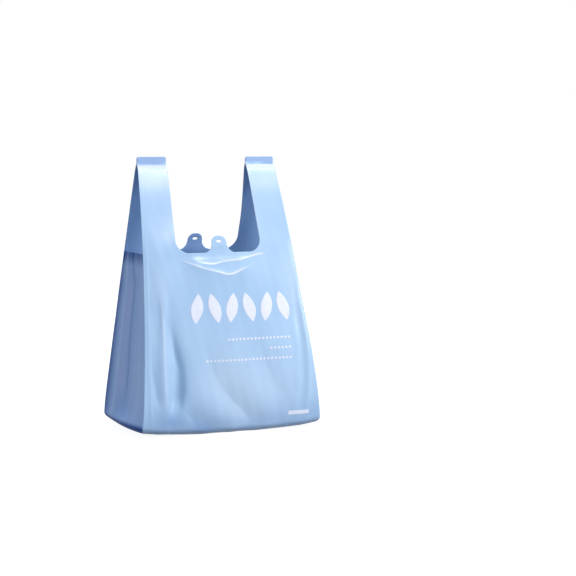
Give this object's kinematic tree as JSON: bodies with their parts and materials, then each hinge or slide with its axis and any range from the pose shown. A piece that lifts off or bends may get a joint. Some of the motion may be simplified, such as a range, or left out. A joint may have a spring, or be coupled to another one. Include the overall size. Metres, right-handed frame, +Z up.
{
  "type": "vest-type bin bag",
  "caption": "Pale blue film bag standing open: side gussets, two welded loop handles for tying, U-shaped mouth with hanging tabs.",
  "frame": {"origin": "middle of the base, at the height of its lowest point", "axes": "+Z up, the front panel faces -Y, +X to the right seen from the front"},
  "size_m": [0.3187, 0.2006, 0.458],
  "materials": {
    "film": "satin polyethylene film"
  },
  "bodies": {
    "root": {"bag": "film"}
  },
  "joints": []
}
